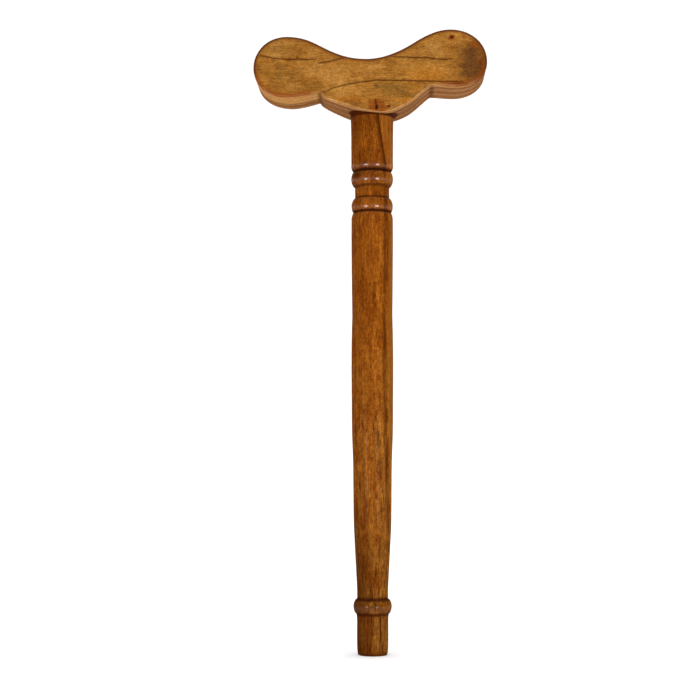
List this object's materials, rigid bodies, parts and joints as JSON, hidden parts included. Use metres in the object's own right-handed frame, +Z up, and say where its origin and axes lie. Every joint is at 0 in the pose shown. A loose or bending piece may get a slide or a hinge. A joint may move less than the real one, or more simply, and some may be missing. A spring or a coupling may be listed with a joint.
{
  "type": "underarm crutch",
  "caption": "Short solid wood underarm crutch: a scroll-cut armrest board with a dipped saddle on a turned post with beads, a cove and a plain foot spigot.",
  "frame": {"origin": "centre of the foot's flat end face", "axes": "+Z up the post, +X along the armrest board towards its higher lobe, +Y through the board's thickness away from its front face"},
  "size_m": [0.2128, 0.05, 0.5654],
  "materials": {
    "board_wood": "varnished yellow-brown hardwood with dark grain lines, semi-gloss",
    "post_wood": "stained red-brown hardwood, gloss varnish",
    "wedge_wood": "bare split hardwood",
    "peg_wood": "varnished dowel end grain"
  },
  "bodies": {
    "root": {"armrest_board": "board_wood", "turned_post": "post_wood", "fox_wedge": "wedge_wood", "cross_peg": "peg_wood"}
  },
  "joints": []
}
